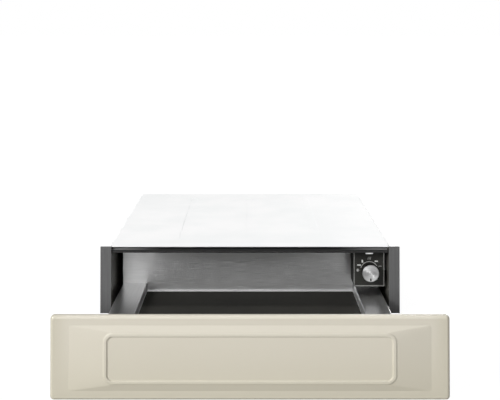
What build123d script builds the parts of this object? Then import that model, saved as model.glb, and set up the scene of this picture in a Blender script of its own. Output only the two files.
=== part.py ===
from build123d import *
import os
from math import cos, pi, sin

# Built-in warming drawer, drawn with its drawer pulled out.
# Origin: on the niche floor, at mid width, in the plane of the cabinet's front edges.
# X points right, Y into the cabinet and Z up. All sizes are in millimetres.
# Every drawer piece is laid out for the shut drawer and then moved out by open_by.

# ---- overall sizes ----
sheet = 1.0                # steel sheet of the chassis and the tray
bend = 1.2                 # bend radius at the middle of the sheet
clear = 0.3                # seat or running clearance

front_width = 597.0
front_height = 125.0
front_depth = 9.0
front_lift = 4.0           # the front's lower edge above the niche floor
front_gap = 4.0            # between the shut front and the chassis posts
front_corner = 5.5
front_rounding = 4.5
front_sheet = 1.2

side_gap = 11.7            # between the tray's skirts and the side panels
chassis_height = 129.0
rear_zone = 47.0           # from the partition's front face to the rear panel's back
post_width = 21.0          # front flange of a side panel
post_depth = 2.0
flange = 12.0              # folded edges of the panels
cover_gap = 0.2            # between the cover's side folds and the side panels
cover_fold = 13.0
cover_notch = 12.0         # the cover's folds start this far behind the posts
beam_drop = 11.6           # from the cover down to the middle line of the beam's foot
beam_top_end = 16.0
beam_foot_end = 18.0
beam_end_gap = 1.9
bead_width = 16.0          # pressed beads that stiffen the flat panels
bead_length = 340.0
bead_margin = 30.0

# ---- pressing on the front ----
relief = 4.0               # how far the pressing stands forward
press_side = 28.0          # border at the ends
press_edge = 14.0          # border above and below
press_corner = 3.0
rim_side = 79.8
rim_edge = 24.4
rim_corner = 14.0
rim_width = 6.0
rim_fall = 1.8             # the field inside the rim lies this much lower

# ---- drawer tray ----
tray_half = 259.0          # outer face of the skirts
tray_length = 486.0
ledge_width = 48.5
ledge_top = 34.5
floor_top = 18.5
skirt_bottom = 7.0
wall_drop = 15.0           # from the chassis's top to the wall's top
wall_foot = 6.0
mat_thickness = 1.5
mat_margin = 1.5
mat_corner = 4.0
liner_drop = 1.0           # the liner ends this far under the wall's top

# ---- telescopic slides ----
slide_start = 15.0
slide_tail = 15.0          # the slides end this far before the tray's wall
slide_height = 26.0
slide_width = 13.0
slide_middle = 18.0        # height of the slide's centre line above the niche floor
member = 1.2               # steel of the slide members
ball = 3.0
race_clear = 0.3           # around a ball
race_depth = 0.4           # groove in each raceway
cage_sheet = 0.5
cage_length = 160.0
balls_in_row = 4
bracket_sheet = 2.0
bracket_foot = 16.0

# ---- control box ----
control_width = 60.4
control_gap = 5.7          # to the side panel
control_clearance = 11.1   # over the tray's ledge
control_drop = 14.0        # from the chassis's top
control_front = 21.0       # plane of the fascia
control_rear = 71.0
control_wall = 1.5
stop_gap = 9.0             # from the housing to the open tray's wall
frame_line = 2.0
knob_inset = 29.5          # the knob's axis from the box's right side
knob_drop = 38.6           # the knob's axis under the box's top
knob_radius = 16.2
knob_tip = -1.0            # plane of the knob's cap
cap_thickness = 1.6
pointer_length = 5.6
pointer_width = 2.6
pointer_place = 12.0       # from the knob's axis
shaft_radius = 3.0
shaft_clear = 0.06
lens_width = 14.8
lens_height = 2.6
lens_drop = 4.9            # the lens's middle under the box's top

# ---- rear zone ----
partition_gap = 1.5        # the plungers' tips stand this far out of the partition
fan_x = -110.0
fan_z = 64.0
fan_case_radius = 49.0
fan_case_depth = 20.0
fan_case_low = 4.0
impeller_radius = 43.0
impeller_depth = 13.0
blades = 16
motor_width = 52.0
motor_below = 16.0         # the stack's lower edge under the fan's axis
motor_window = 17.0        # the window's lower edge above the fan's axis
motor_gap = 12.0           # height of the window
motor_limb = 9.0
motor_stack = 9.0
motor_stand = 6.0          # length of the posts on the fan's case
motor_shaft = 2.0
rotor_radius = 11.0
winding = 5.0
latch_inset = 54.0         # from the tray's outer face
latch_z = 64.0
latch_travel = 15.0
latch_press = 3.0          # the push that frees the latch
plunger_radius = 6.0
latch_flange = 13.0        # half width of the barrel's square flange
spring_wire = 0.45         # half thickness
spring_radius = 3.8
spring_turns = 6
gland_x = 150.0
gland_z = 32.0
cable_radius = 3.9
element_radius = 3.25
element_z = 8.4
element_pitch = 60.0
element_front = 96.0       # the runs' front ends
element_rear_gap = 47.0    # from the runs' rear ends to the partition
reflector_margin = 22.0    # from the tray's floor edge
reflector_rim = 5.0
duct_drop = 41.0           # wire duct on the right side panel, under the chassis's top
duct_height = 24.0
duct_fold = 4.0
duct_depth = 7.5
screw_radius = 1.9
screw_head = 3.9
screw_head_height = 2.0
screw_length = 7.0
fixing_radius = 2.25       # screws through the side panels into the cabinet
fixing_spacing = 40.0
fixing_y = 22.0
fixing_z = 40.5
vent_length = 50.0         # slots in the side panels
fan_vent = 46.0            # slots in the rear panel
outlet_width = 46.0        # the fan's outlet through the partition
probe_reach = 42.0         # the probe's stem in front of the partition
terminal_offset = 60.0     # from the gland's axis to the terminal block
terminal_width = 34.0
tie_length = 18.0          # run of the control box's tie along the side panel
bracket_width = 34.0       # angles between the front and the tray's skirts
reflector_front = 34.0     # the reflector reaches this far past the element in front
reflector_back = 22.0
cutout_length = 28.0       # flange of the safety cut-out
cutout_width = 12.0
plunger_length = 27.0
cold_end = 16.0            # the element's ends behind the partition
pin_length = 10.0

# ---- planes that several pieces share ----
chassis_half = tray_half + side_gap + sheet
side_inner = chassis_half - sheet
post_outer = side_inner + post_width
front_back = -post_depth - front_gap
front_face = front_back - front_depth
front_middle = front_lift + front_height / 2
tray_front = front_back + sheet
wall_y = tray_front + tray_length
strike_depth = 1.2
plunger_tip = wall_y + strike_depth + latch_press + clear
partition_y = plunger_tip + partition_gap
chassis_depth = partition_y + rear_zone
open_by = wall_y - sheet - control_rear - stop_gap
slide_length = wall_y - sheet - slide_start - slide_tail
control_right = side_inner - control_gap
control_left = control_right - control_width
knob_x = control_right - knob_inset
latch_x = tray_half - latch_inset
cover_under = chassis_height - sheet
beam_low = chassis_height - beam_drop
wall_top = chassis_height - wall_drop
liner_top = wall_top - liner_drop
control_top = chassis_height - control_drop
control_bottom = ledge_top + control_clearance
knob_z = control_top - knob_drop
lens_z = control_top - lens_drop
duct_low = chassis_height - duct_drop
bracket_face = tray_half - sheet - slide_width
rear_y = chassis_depth - sheet
case_y = partition_y + sheet
motor_y = case_y + fan_case_depth + motor_stand
beam_half = side_inner - beam_end_gap

drawer_out = Pos(0, -open_by, 0)
middle_out = Pos(0, -open_by / 2, 0)
outer_cage_out = Pos(0, -open_by / 4, 0)
inner_cage_out = Pos(0, -open_by * 3 / 4, 0)

os.makedirs("parts", exist_ok=True)


# ---- shapes that many pieces use ----
def save(name, solids):
    """Writes one node from one solid or from several separate ones."""
    found = solids if isinstance(solids, list) else [solids]
    export_step(found[0] if len(found) == 1 else Compound(children=found), f"parts/{name}.step")


def strip(points, thickness, radius=bend):
    """Cross-section of a bent sheet whose middle line runs through the points."""
    line = Line(*points) if len(points) == 2 else FilletPolyline(*points, radius=radius)
    return trace(line, thickness)


def along_x(section, start, end):
    """Section in Y and Z, drawn out from start to end in X."""
    return extrude(Plane.YZ.offset(start) * section, end - start)


def along_y(section, start, end):
    """Section in X and Z, drawn out from start to end in Y."""
    return extrude(Plane.XZ.offset(-start) * section, start - end)


def along_z(section, start, end):
    """Section in X and Y, drawn out from start to end in Z."""
    return extrude(Plane.XY.offset(start) * section, end - start)


def patch(low_a, high_a, low_b, high_b, corner=0.0):
    """Rectangle between two pairs of limits, with rounded corners where a radius is given."""
    width = high_a - low_a
    height = high_b - low_b
    shape = RectangleRounded(width, height, corner) if corner else Rectangle(width, height)
    return Pos((low_a + high_a) / 2, (low_b + high_b) / 2) * shape


def disc_y(x, z, radius, start, end):
    """Round bar or hole along Y."""
    return along_y(Pos(x, z) * Circle(radius), start, end)


def mirrored(shape):
    """The same piece for the left side."""
    return mirror(shape, about=Plane.YZ)


def pair(shape):
    return [shape, mirrored(shape)]


def both_sides(name, shape):
    save(f"{name}_right", shape)
    save(f"{name}_left", mirrored(shape))


def screw(place, turn=(0, 0, 0)):
    """Pan head screw in flat facets; its head stands on the plane z = 0 of its place."""
    rings = [(0, screw_head), (screw_head_height * 0.6, screw_head), (screw_head_height, screw_head * 0.7)]
    head = loft([Pos(0, 0, height) * RegularPolygon(radius, 12) for height, radius in rings], ruled=True)
    shank = extrude(RegularPolygon(screw_radius, 8), -screw_length)
    return Pos(*place) * (Rot(*turn) * (head + shank))


# ---- chassis panels ----
def base_pan():
    half = side_inner - clear
    path = [(sheet / 2 - post_depth, 6.0), (sheet / 2 - post_depth, sheet / 2), (rear_y, sheet / 2)]
    pan = along_x(strip(path, sheet, 0.8), -half, half)
    for y in (bead_margin, rear_y - bead_margin - bead_width):
        bead = Pos(0, y + bead_width / 2) * SlotOverall(bead_length, bead_width)
        pan -= along_z(bead, sheet / 2, sheet)
    return pan


def fixing_places():
    return [(fixing_y, fixing_z), (fixing_y + fixing_spacing, fixing_z)]


def screw_line():
    """Places along Y of the screws that hold the top cover."""
    return [chassis_depth * share for share in (0.08, 0.5, 0.92)]


cover_screw_z = chassis_height - cover_fold / 2


def side_panel():
    inner = side_inner + sheet / 2
    low = sheet * 1.5
    high = cover_under - sheet / 2
    path = [(inner - flange, low), (inner, low), (inner, high), (inner - flange, high)]
    panel = along_y(strip(path, sheet), 0, rear_y - sheet)
    post = along_z(patch(side_inner, post_outer, -post_depth, 0), 0, chassis_height)
    outer_edges = post.edges().filter_by(Axis.Z).group_by(Axis.X)[-1]
    post = fillet(outer_edges, post_depth * 0.45)
    tab = along_y(patch(inner - flange, inner, low + bend, high - bend), rear_y - sheet, rear_y)
    panel += post + tab
    beam_notch = patch(inner - flange - 1, beam_half + clear, high - sheet, high + sheet)
    panel -= along_y(beam_notch, -1, beam_top_end + clear)
    for y, z in fixing_places():
        panel -= along_x(Pos(y, z) * Circle(fixing_radius), side_inner - 1, chassis_half + 1)
    for y in screw_line():
        panel -= along_x(Pos(y, cover_screw_z) * Circle(screw_radius + 0.1), side_inner - 1,
                         chassis_half + 1)
    for z in rear_screw_heights():
        panel -= disc_y(rear_screw_x(), z, screw_radius + 0.1, rear_y - 3, rear_y + 1)
    for number in range(4):
        y = partition_y + 12 + number * 8
        slot = along_x(Pos(y, chassis_height / 2) * SlotOverall(vent_length, 3, rotation=90), side_inner - 1,
                       chassis_half + 1)
        panel -= slot
    return panel


def rear_screw_heights():
    return [22.0, chassis_height - 22.0]


def rear_screw_x():
    return side_inner - 6.0


def top_cover():
    outer = chassis_half + cover_gap + sheet / 2
    high = chassis_height - sheet / 2
    low = chassis_height - cover_fold
    path = [(-outer, low), (-outer, high), (outer, high), (outer, low)]
    cover = along_y(strip(path, sheet), clear, chassis_depth)
    for y in screw_line():
        hole = along_x(Pos(y, cover_screw_z) * Circle(screw_radius + 0.1), -outer - 1, outer + 1)
        cover -= hole
    for side in (-1, 1):
        ends = sorted((side * side_inner, side * (outer + 1)))
        cover -= along_z(patch(*ends, -1, cover_notch), low - 1, chassis_height + 1)
    for x in (-chassis_half / 2, 0, chassis_half / 2):
        length = chassis_depth - 4 * bead_margin
        bead = Pos(x, chassis_depth / 2) * SlotOverall(length, bead_width, rotation=90)
        cover -= along_z(bead, chassis_height - sheet / 2, chassis_height)
    return cover


def panel_screws():
    """Screws at the cover's side folds and round the rear panel."""
    face = chassis_half + cover_gap + sheet
    right = [screw((face, y, cover_screw_z), (0, 90, 0)) for y in screw_line()]
    right += [screw((rear_screw_x(), chassis_depth, z), (-90, 0, 0))
              for z in rear_screw_heights()]
    return right + [mirrored(screw) for screw in right]


def cross_wall(front_y, fold_back):
    """Upright sheet across the chassis with folds above and below."""
    middle = front_y + sheet / 2
    reach = middle + (flange if fold_back else -flange)
    low = sheet * 1.5
    high = cover_under - sheet / 2
    path = [(reach, low), (middle, low), (middle, high), (reach, high)]
    half = side_inner - flange - 1.0
    folded = along_x(strip(path, sheet), -half, half)
    ends = patch(-side_inner + clear, side_inner - clear, low + 1, high - 1)
    return folded + along_y(ends, front_y, front_y + sheet)


def rear_panel():
    panel = cross_wall(rear_y, False)
    for x in (-rear_screw_x(), rear_screw_x()):
        for z in rear_screw_heights():
            panel -= disc_y(x, z, screw_radius + 0.1, rear_y - 1, chassis_depth + 1)
    for number in range(-3, 4):
        slot = Pos(fan_x + number * 9, fan_z) * SlotOverall(fan_vent, 3.6, rotation=90)
        panel -= along_y(slot, rear_y - 1, chassis_depth + 1)
    return panel - disc_y(gland_x, gland_z, gland_radius + 0.1, rear_y - 1, chassis_depth + 1)


def partition():
    """Wall in front of the rear zone, with the fan's grille and its outlet below."""
    wall = cross_wall(partition_y, True)
    start = partition_y - 1
    end = partition_y + 2
    grille_radius = 30.0
    for number in range(-4, 5):
        offset = number * 6.0
        length = 2 * (grille_radius ** 2 - offset ** 2) ** 0.5
        wall -= along_y(Pos(fan_x + offset, fan_z) * Rectangle(3.4, length), start, end)
    outlet = Pos(fan_x - fan_case_radius / 2 + 2, fan_case_low + 6) * SlotOverall(outlet_width, 6)
    wall -= along_y(outlet, start, end)
    for x in (-latch_x, latch_x):
        wall -= disc_y(x, latch_z, plunger_radius + 0.6, start, end)
    for x in (-element_pitch / 2, element_pitch / 2):
        wall -= disc_y(x, element_z, element_radius + 0.4, start, end)
    return wall - disc_y(probe_x, element_z, probe_radius + clear, start, end)


def front_beam():
    """Sloping face, shadow groove and lip over the mouth, with a foot folded back."""
    top = cover_under - sheet / 2
    half = sheet / 2
    lip = half - post_depth
    groove = lip + 4.5
    shelf = beam_low + 1.7
    path = [(beam_top_end, top), (beam_top_end - 5, top), (groove, top - 5.9), (groove, shelf),
            (lip, shelf), (lip, beam_low), (beam_foot_end, beam_low)]
    return along_x(strip(path, sheet, 0.6), -beam_half, beam_half)


# ---- slides ----
outer_half = slide_height / 2
outer_row = outer_half - member - race_clear - ball / 2 + race_depth
middle_half = outer_row - ball / 2 - race_clear + race_depth
inner_row = middle_half - member - race_clear - ball / 2 + race_depth
inner_half = inner_row - ball / 2 - race_clear + race_depth
web_gap = 0.5
outer_cage_x = bracket_face + member + web_gap
middle_x = outer_cage_x + cage_sheet + web_gap
inner_cage_x = middle_x + member + web_gap
inner_back = bracket_face + slide_width
outer_ball_x = bracket_face + 6.0
inner_ball_x = bracket_face + 8.6


def channel(back, front, half, open_left, rows):
    """C-section of a slide member with a raceway groove at each ball row."""
    section = patch(back, front, slide_middle - half, slide_middle + half)
    low = back if open_left else back + member
    high = front - member if open_left else front
    inside = patch(low, high, slide_middle - half + member, slide_middle + half - member)
    if open_left:
        inside += patch(back - 1, back + 1, slide_middle - half + member, slide_middle + half - member)
    else:
        inside += patch(front - 1, front + 1, slide_middle - half + member,
                        slide_middle + half - member)
    section -= inside
    for x, row in rows:
        for side in (-1, 1):
            section -= Pos(x, slide_middle + side * row) * Circle(ball / 2 + race_clear)
    return section


def slide_member(section):
    return along_y(section, slide_start, slide_start + slide_length)


def outer_rail():
    front = bracket_face + 8.6
    return slide_member(channel(bracket_face, front, outer_half, False, [(outer_ball_x, outer_row)]))


def middle_rail():
    rows = [(outer_ball_x, outer_row), (inner_ball_x, inner_row)]
    return slide_member(channel(middle_x, bracket_face + 11.0, middle_half, False, rows))


def inner_rail():
    back = inner_cage_x + cage_sheet + web_gap
    return slide_member(channel(back, inner_back, inner_half, True, [(inner_ball_x, inner_row)]))


def faceted_ball(x, y, z):
    """Small steel ball in flat facets, a ruled loft through four octagons."""
    rings = []
    for step in (-3, -1, 1, 3):
        latitude = step * pi / 8
        ring = RegularPolygon(ball / 2 * cos(latitude), 8)
        rings.append(Pos(x, y, z + ball / 2 * sin(latitude)) * ring)
    return loft(rings, ruled=True)


def ball_cage(back, reach, row, ball_x):
    """Bent strip that spaces two rows of balls, with the balls loose in its holes."""
    half = row + cage_sheet / 2
    section = patch(back, back + cage_sheet, slide_middle - half, slide_middle + half)
    for side in (-1, 1):
        z = slide_middle + side * row
        section += patch(back, reach, z - cage_sheet / 2, z + cage_sheet / 2)
    start = slide_start + (slide_length - cage_length) / 2
    cage = along_y(section, start, start + cage_length)
    pitch = cage_length / balls_in_row
    places = [(ball_x, start + pitch * (number + 0.5)) for number in range(balls_in_row)]
    holes = [Pos(x, y) * RegularPolygon(ball / 2 + 0.2, 8) for x, y in places]
    cage -= along_z(Sketch(children=holes), slide_middle - half - 1, slide_middle + half + 1)
    balls = [faceted_ball(x, y, slide_middle + side * row) for x, y in places for side in (-1, 1)]
    return [cage] + balls


def save_cage(name, back, reach, row, ball_x, moved):
    solids = [moved * solid for solid in ball_cage(back, reach, row, ball_x)]
    save(f"{name}_right", solids)
    save(f"{name}_left", [mirrored(solid) for solid in solids])


def slide_brackets():
    """Angles on the base that carry the slides."""
    upright = bracket_face - bracket_sheet / 2
    low = sheet + bracket_sheet / 2
    path = [(upright - bracket_foot, low), (upright, low), (upright, slide_middle + outer_half)]
    angle = strip(path, bracket_sheet, bracket_sheet * 1.1)
    return pair(along_y(angle, slide_start - 5, slide_start + slide_length))


# ---- drawer front ----
def front_outline(inset_x, inset_z, corner, y):
    width = front_width - 2 * inset_x
    height = front_height - 2 * inset_z
    outline = RectangleRounded(width, height, corner)
    return Plane.XZ.offset(-y) * (Pos(0, front_middle) * outline)


def front_form(gap):
    """Outside of the pressed front, or its inside when gap is the sheet's thickness."""
    face = front_face + gap
    pan = extrude(front_outline(gap, gap, front_corner - gap, front_back), front_back - face)
    pan = fillet(pan.edges().group_by(Axis.Y)[0], front_rounding - gap)

    def ring(inset, height):
        return front_outline(rim_side + inset, rim_edge + inset, rim_corner - inset, face - height)

    foot = front_outline(press_side, press_edge, press_corner, face)
    root = front_outline(press_side, press_edge, press_corner, face + 0.5)
    crest = [(-0.9, relief - 1.2), (0.1, relief - 0.9), (0.8, relief - 0.3), (1.7, relief)]
    boss = loft([root, foot] + [ring(*point) for point in crest], ruled=True)
    well = [(rim_width - 1.5, relief + 0.01), (rim_width - 0.7, relief - 0.35),
            (rim_width, relief - rim_fall + 0.25), (rim_width + 0.9, relief - rim_fall)]
    hollow = loft([ring(*point) for point in well], ruled=True)
    return pan + boss - hollow


def front_panel():
    inside = front_form(front_sheet)
    mouth = extrude(front_outline(front_sheet, front_sheet, front_corner - front_sheet, front_back + 1),
                    2)
    return drawer_out * (front_form(0) - inside - mouth)


def front_backing():
    """Stiffening sheet that closes the pan, with two pressed beads."""
    inset = front_sheet + clear
    plate = extrude(front_outline(inset, inset, front_corner - inset, front_back), sheet)
    for z in (front_middle - front_height / 3, front_middle + front_height / 3):
        bead = Pos(0, z) * SlotOverall(bead_length, bead_width * 0.6)
        plate -= along_y(bead, front_back - sheet / 2, front_back)
    for place in front_screw_places():
        for x in (-place[0], place[0]):
            plate -= disc_y(x, place[1], screw_radius + 0.1, front_back - sheet - 1, front_back + 1)
    return drawer_out * plate


def front_liner():
    """Steel sheet behind the front, notched round the ledges' ends."""
    half = tray_half - clear
    low = patch(-tray_half + ledge_width, tray_half - ledge_width, floor_top, ledge_top + 1)
    high = patch(-half, half, ledge_top + clear, liner_top, 0)
    return drawer_out * along_y(low + high, front_back, tray_front)


bracket_inner = tray_half - bracket_width
bracket_low = skirt_bottom + 2.0
bracket_high = ledge_top - sheet - 1.0


def front_screw_places():
    middle = bracket_inner + 10.0
    return [(middle, bracket_low + 6.0), (middle, bracket_high - 5.0)]


def front_brackets():
    """Angles that tie the skirts of the tray to the front."""
    thick = 1.5
    outer = tray_half - sheet - thick / 2
    y = front_back + thick / 2
    path = [(bracket_inner, y), (outer, y), (outer, slide_start - 2.0)]
    angle = along_z(strip(path, thick, 1.6), bracket_low, bracket_high)
    for x, z in front_screw_places():
        angle -= disc_y(x, z, screw_radius + 0.1, front_back - 1, front_back + 3)
    return pair(drawer_out * angle)


def front_screws():
    face = front_back + 1.5
    right = [drawer_out * screw((x, face, z), (-90, 0, 0)) for x, z in front_screw_places()]
    return right + [mirrored(screw) for screw in right]


# ---- tray ----
def drawer_tray():
    half = sheet / 2
    outer = tray_half - half
    step = tray_half - ledge_width + half
    high = ledge_top - half
    low = floor_top - half
    right = [(step, low), (step, high), (outer, high), (outer, skirt_bottom)]
    path = [(-x, z) for x, z in reversed(right)] + right
    tray = along_y(strip(path, sheet, bend), tray_front, wall_y)
    lip = patch(-step + 1.5, step - 1.5, floor_top - half, ledge_top - 2, 0)
    tray += along_y(lip, tray_front, tray_front + sheet)
    return drawer_out * tray


def tray_rear_wall():
    """Upright steel wall, its foot and its top edge folded."""
    middle = wall_y - sheet / 2
    half = tray_half - ledge_width - bend
    path = [(middle - wall_foot, floor_top + sheet / 2), (middle, floor_top + sheet / 2),
            (middle, ledge_top + 2)]
    foot = along_x(strip(path, sheet, 1.5), -half, half)
    face = patch(-tray_half + clear, tray_half - clear, ledge_top, wall_top - bend)
    fold = [(middle, wall_top - 6), (middle, wall_top - sheet / 2), (middle + 2.5, wall_top - sheet / 2)]
    edge = along_x(strip(fold, sheet, 0.9), -tray_half + clear, tray_half - clear)
    return drawer_out * (foot + along_y(face, wall_y - sheet, wall_y) + edge)


def anti_slip_mat():
    half = tray_half - ledge_width - mat_margin
    outline = patch(-half, half, tray_front + sheet + mat_margin, wall_y - sheet - wall_foot - mat_margin,
                    mat_corner)
    return drawer_out * along_z(outline, floor_top, floor_top + mat_thickness)


def strike_plates():
    """Steel discs on the back of the tray's wall, where the latches push and hold."""
    plate = disc_y(latch_x, latch_z, 11.0, wall_y, wall_y + strike_depth)
    return pair(drawer_out * chamfer(plate.edges().group_by(Axis.Y)[-1], 0.4))


# ---- control box ----
def control_housing():
    outline = patch(control_left, control_right, control_bottom, control_top, 2.0)
    box = along_y(outline, control_front + 2, control_rear)
    hollow = patch(control_left + control_wall, control_right - control_wall,
                   control_bottom + control_wall, control_top - control_wall, 1.0)
    return box - along_y(hollow, control_front + 1, control_rear - control_wall)


def fascia_frame():
    outline = patch(control_left, control_right, control_bottom, control_top, 1.0)
    window = patch(control_left + frame_line, control_right - frame_line,
                   control_bottom + frame_line, control_top - frame_line, 0.6)
    frame = along_y(outline - window, control_front - 0.5, control_front + 2)
    return chamfer(frame.edges().group_by(Axis.Y)[0], 0.3)


def control_fascia():
    gap = 0.1
    outline = patch(control_left + frame_line + gap, control_right - frame_line - gap,
                    control_bottom + frame_line + gap, control_top - frame_line - gap, 0.5)
    plate = along_y(outline, control_front, control_front + 2)
    lens = patch(knob_x - lens_width / 2 - gap, knob_x + lens_width / 2 + gap,
                 lens_z - lens_height / 2 - gap, lens_z + lens_height / 2 + gap, lens_height / 2)
    plate -= along_y(lens, control_front - 1, control_front + 3)
    return plate - disc_y(knob_x, knob_z, bush_radius + gap, control_front - 1, control_front + 3)


def indicator_lens():
    outline = patch(knob_x - lens_width / 2, knob_x + lens_width / 2, lens_z - lens_height / 2,
                    lens_z + lens_height / 2, lens_height / 2 - 0.05)
    bar = along_y(outline, control_front - 0.4, control_front + 3.5)
    return chamfer(bar.edges().group_by(Axis.Y)[0], 0.3)


def indicator_board():
    """Small board under the housing's top, with the lamp behind the lens."""
    board = patch(knob_x - 14, knob_x + 14, lens_z - 4.5, control_top - control_wall)
    plate = along_y(board, control_front + 6.0, control_front + 7.4)
    lamp = along_y(patch(knob_x - 6, knob_x + 6, lens_z - 1, lens_z + 1), control_front + 3.8,
                   control_front + 6.0)
    return plate + lamp


bush_radius = 4.6
switch_front = control_front + 2.0


def rotary_switch():
    """Switch body with its threaded bush; the spindle runs in the bush."""
    bush = disc_y(knob_x, knob_z, bush_radius, control_front - 1.0, switch_front + 6)
    plate = along_y(patch(knob_x - 17, knob_x + 17, knob_z - 14, knob_z + 14, 3), switch_front,
                    switch_front + 1.5)
    body = disc_y(knob_x, knob_z, 15.5, switch_front + 1.5, control_rear - control_wall - 8)
    legs = [along_y(patch(knob_x + x - 2.4, knob_x + x + 2.4, knob_z - 9.4, knob_z - 8.6),
                    control_rear - control_wall - 8, control_rear - control_wall - 1)
            for x in (-8, 0, 8)]
    bore = disc_y(knob_x, knob_z, shaft_radius + shaft_clear, control_front - 2, switch_front + 16)
    switch = bush + plate + body - bore
    for leg in legs:
        switch += leg
    return switch


def switch_spindle():
    """Spindle with the flat that drives the knob."""
    bar = disc_y(knob_x, knob_z, shaft_radius, knob_tip + cap_thickness + 2, switch_front + 15.5)
    flat = patch(knob_x - 4, knob_x + 4, knob_z + 1.6, knob_z + 4)
    return bar - along_y(flat, knob_tip, control_front - 6)


def knob_body():
    """Ribbed skirt that flares towards the fascia, hollow at its back."""
    front = knob_tip + cap_thickness
    back = control_front - 1.3
    small = knob_radius - 1.0
    body = disc_y(knob_x, knob_z, small, front, back)
    body = chamfer(body.edges().group_by(Axis.Y)[-1], 0.6)
    ribs = 18
    for number in range(ribs):
        angle = 2 * pi * number / ribs
        centre = (knob_x + (small + 0.55) * cos(angle), knob_z + (small + 0.55) * sin(angle))
        body -= disc_y(*centre, 1.0, front - 1, back + 1)
    pocket = disc_y(knob_x, knob_z, small - 3.0, control_front - 6, back + 1)
    stem = disc_y(knob_x, knob_z, 5.2, control_front - 7, back)
    return body - pocket + stem - spindle_socket(0.05)


def spindle_socket(gap):
    """Hole in the knob that fits round the flatted spindle."""
    hole = disc_y(knob_x, knob_z, shaft_radius + gap, knob_tip + cap_thickness + 1.9, control_front)
    flat = patch(knob_x - 4, knob_x + 4, knob_z + 1.6 + gap, knob_z + 4)
    return hole - along_y(flat, knob_tip, control_front - 6)


def pointer_outline(gap):
    """Drop-shaped mark at the lower side of the cap, where the knob stands at off."""
    place = Pos(knob_x, knob_z - pointer_place)
    return place * SlotOverall(pointer_length + 2 * gap, pointer_width + 2 * gap, rotation=90)


def knob_cap():
    cap = disc_y(knob_x, knob_z, knob_radius, knob_tip, knob_tip + cap_thickness)
    cap = chamfer(cap.edges().group_by(Axis.Y)[0], 0.5)
    return cap - along_y(pointer_outline(0), knob_tip - 1, knob_tip + 0.8)


def knob_pointer():
    return along_y(pointer_outline(-0.05), knob_tip + 0.15, knob_tip + 0.8)


def control_bracket():
    """Z-shaped tie from the control box to the side panel."""
    near = control_right + sheet / 2
    far = side_inner - sheet / 2
    path = [(near, control_front + 8), (near, control_front + 22), (far, control_front + 22),
            (far, control_front + 22 + tie_length)]
    low = knob_z - 5
    return along_z(strip(path, sheet), low, control_top - control_gap)


def wire_duct():
    """Channel that takes the wires from the control box to the rear."""
    thick = 0.8
    far = side_inner - thick / 2
    near = far - duct_depth
    high = duct_low + duct_height
    path = [(far, duct_low), (far, duct_low + duct_fold), (near, duct_low + duct_fold),
            (near, high - duct_fold), (far, high - duct_fold), (far, high)]
    return along_y(strip(path, thick, 0.8), control_rear + 3, partition_y - 1)


# ---- heating ----
reflector_half = tray_half - ledge_width - reflector_margin
reflector_sheet = 0.6
reflector_top = sheet + reflector_sheet
probe_x = reflector_half + 12.0
probe_radius = 2.5
element_far = partition_y - element_rear_gap
element_end = partition_y + cold_end


def element_run():
    """Middle line of the heating element, from one terminal to the other."""
    pitch = element_pitch
    near = element_front
    far = element_far
    inner_near = near + pitch * 2 / 3
    right = [(pitch / 2, element_end), (pitch / 2, inner_near), (pitch * 1.5, inner_near),
             (pitch * 1.5, far), (pitch * 2.5, far), (pitch * 2.5, near)]
    left = [(-x, y) for x, y in reversed(right)]
    return right + left


def heating_element():
    points = [Vector(x, y, element_z) for x, y in element_run()]
    path = FilletPolyline(*points, radius=element_pitch / 2 - 1)
    start = Plane(origin=path @ 0, z_dir=path % 0)
    tube = sweep(start * RegularPolygon(element_radius, 8), path=path)
    ends = [disc_y(x, element_z, 1.2, element_end, element_end + pin_length)
            for x in (-element_pitch / 2, element_pitch / 2)]
    for pin in ends:
        tube += pin
    return tube


def element_supports():
    """Two combs that carry the element's runs above the reflector."""
    runs = [element_pitch * step for step in (-2.5, -1.5, -0.5, 0.5, 1.5, 2.5)]
    combs = []
    for share in (0.2, 0.8):
        y = element_front + (element_far - element_front) * share
        low = reflector_top
        foot = [(y - 9, low + sheet / 2), (y, low + sheet / 2), (y, element_z + 2)]
        comb = along_x(strip(foot, sheet, 0.8), runs[0] - 9, runs[-1] + 9)
        for x in runs:
            seat = element_radius + 0.15
            notch = patch(x - seat, x + seat, element_z - seat, element_z + 5)
            comb -= along_y(notch, y - 1, y + 1)
        combs.append(comb)
    return combs


def heat_reflector():
    """Bright tray under the element, its edges turned up."""
    low = sheet + reflector_sheet / 2
    right = [(reflector_half - 6, low), (reflector_half, low + reflector_rim)]
    path = [(-x, z) for x, z in reversed(right)] + right
    return along_y(strip(path, reflector_sheet, 1.5), element_front - reflector_front,
                   element_far + reflector_back)


def temperature_probe():
    """Stem under the tray with a collar on the partition."""
    stem = disc_y(probe_x, element_z, probe_radius, partition_y - probe_reach, partition_y + 10)
    collar = disc_y(probe_x, element_z, probe_radius + 3, case_y, case_y + 3)
    return chamfer((stem + collar).edges().group_by(Axis.Y)[0], probe_radius * 0.5)


def safety_cutout():
    """Disc thermostat with a flange and two blades, on the back of the partition."""
    x, z = 60.0, fan_z
    plate = along_y(Pos(x, z) * SlotOverall(cutout_length, cutout_width), case_y, case_y + 0.8)
    body = disc_y(x, z, 8.0, case_y + 0.8, case_y + 10)
    body = chamfer(body.edges().group_by(Axis.Y)[-1], 0.8)
    blades_at = [along_y(patch(x + side * 4.5 - 0.4, x + side * 4.5 + 0.4, z - 3.1, z + 3.1),
                         case_y + 10, case_y + 19) for side in (-1, 1)]
    cutout = plate + body
    for blade in blades_at:
        cutout += blade
    for side in (-1, 1):
        cutout -= disc_y(x + side * 11, z, 1.6, case_y - 1, case_y + 2)
    return cutout


# ---- fan ----
def fan_outline(inset):
    """Round case with a straight outlet running down on its left."""
    radius = fan_case_radius - inset
    round_part = Pos(fan_x, fan_z) * Circle(radius)
    outlet = patch(fan_x - radius, fan_x + 8 - inset, fan_case_low + inset, fan_z)
    return round_part + outlet


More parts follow.
